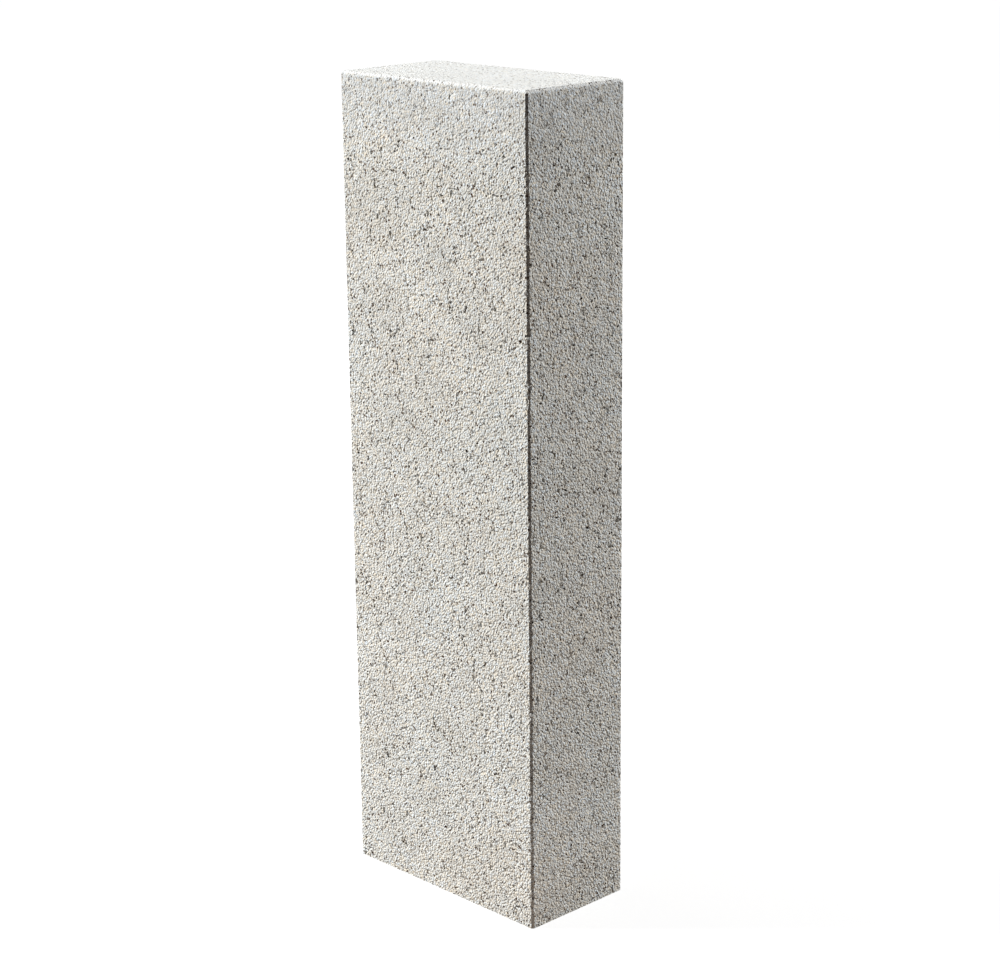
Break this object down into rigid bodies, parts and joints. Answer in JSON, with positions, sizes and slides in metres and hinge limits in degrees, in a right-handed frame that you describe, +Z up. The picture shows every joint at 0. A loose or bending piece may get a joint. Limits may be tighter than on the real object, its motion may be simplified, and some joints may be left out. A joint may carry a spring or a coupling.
{
  "type": "concrete palisade",
  "caption": "Upright rectangular block of dry-pressed concrete with a smooth bevelled head and open-textured faces, set side by side as garden edging or a low retaining wall.",
  "frame": {"origin": "centre of the base, on the ground that the block stands on", "axes": "+X along the wide face, +Y from the front face to the back face, +Z up the block to its head"},
  "size_m": [0.25, 0.125, 0.8],
  "materials": {
    "concrete": "open-textured light grey dry-pressed concrete, with a smoother and paler head"
  },
  "bodies": {
    "root": {"palisade": "concrete"}
  },
  "joints": []
}
